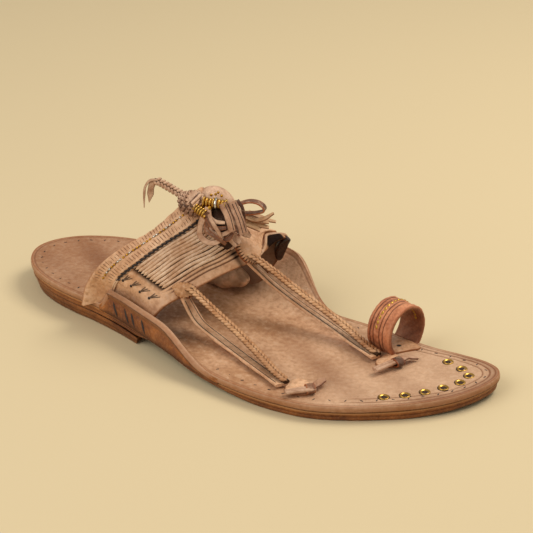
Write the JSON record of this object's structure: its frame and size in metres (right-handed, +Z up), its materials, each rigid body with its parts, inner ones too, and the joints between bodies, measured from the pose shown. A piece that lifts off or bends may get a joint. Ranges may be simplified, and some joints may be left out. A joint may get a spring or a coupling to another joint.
{
  "type": "kolhapuri sandal",
  "caption": "Flat leather sandal for the right foot: turned-up insole ears, wide instep band, braided straps, toe ring and thong ornament.",
  "frame": {"origin": "on the floor, under the middle of the rectangle that the sandal covers", "axes": "+X from the heel to the toe, +Y towards the inner (big toe) side, +Z up"},
  "size_m": [0.2784, 0.1152, 0.0825],
  "materials": {
    "insole_leather": "vegetable-tanned hide, dry and foot-worn",
    "sole_leather": "thick oiled sole leather, burnished edge",
    "upper_leather": "soft tan leather, embossed and stitched",
    "ring_leather": "red-brown polished leather",
    "brass": "worn bright brass"
  },
  "bodies": {
    "root": {"insole": "insole_leather", "outsole": "sole_leather", "heel_lift": "sole_leather", "instep_band": "upper_leather", "lateral_braid": "upper_leather", "lateral_strap": "upper_leather", "medial_braid": "upper_leather", "medial_strap": "upper_leather", "lateral_toggle": "upper_leather", "medial_toggle": "upper_leather", "toe_ring": "ring_leather", "eyelet_1": "brass", "eyelet_2": "brass", "eyelet_3": "brass", "eyelet_4": "brass", "eyelet_5": "brass", "eyelet_6": "brass", "eyelet_7": "brass", "eyelet_8": "brass", "rosette": "upper_leather", "tail_braid": "upper_leather", "tail_thong_1": "upper_leather", "tail_thong_2": "upper_leather", "brass_coil_1": "brass", "brass_coil_2": "brass", "thong_loops": "upper_leather", "flat_thongs": "upper_leather", "front_loop": "upper_leather", "fringe_thongs": "upper_leather"}
  },
  "joints": []
}
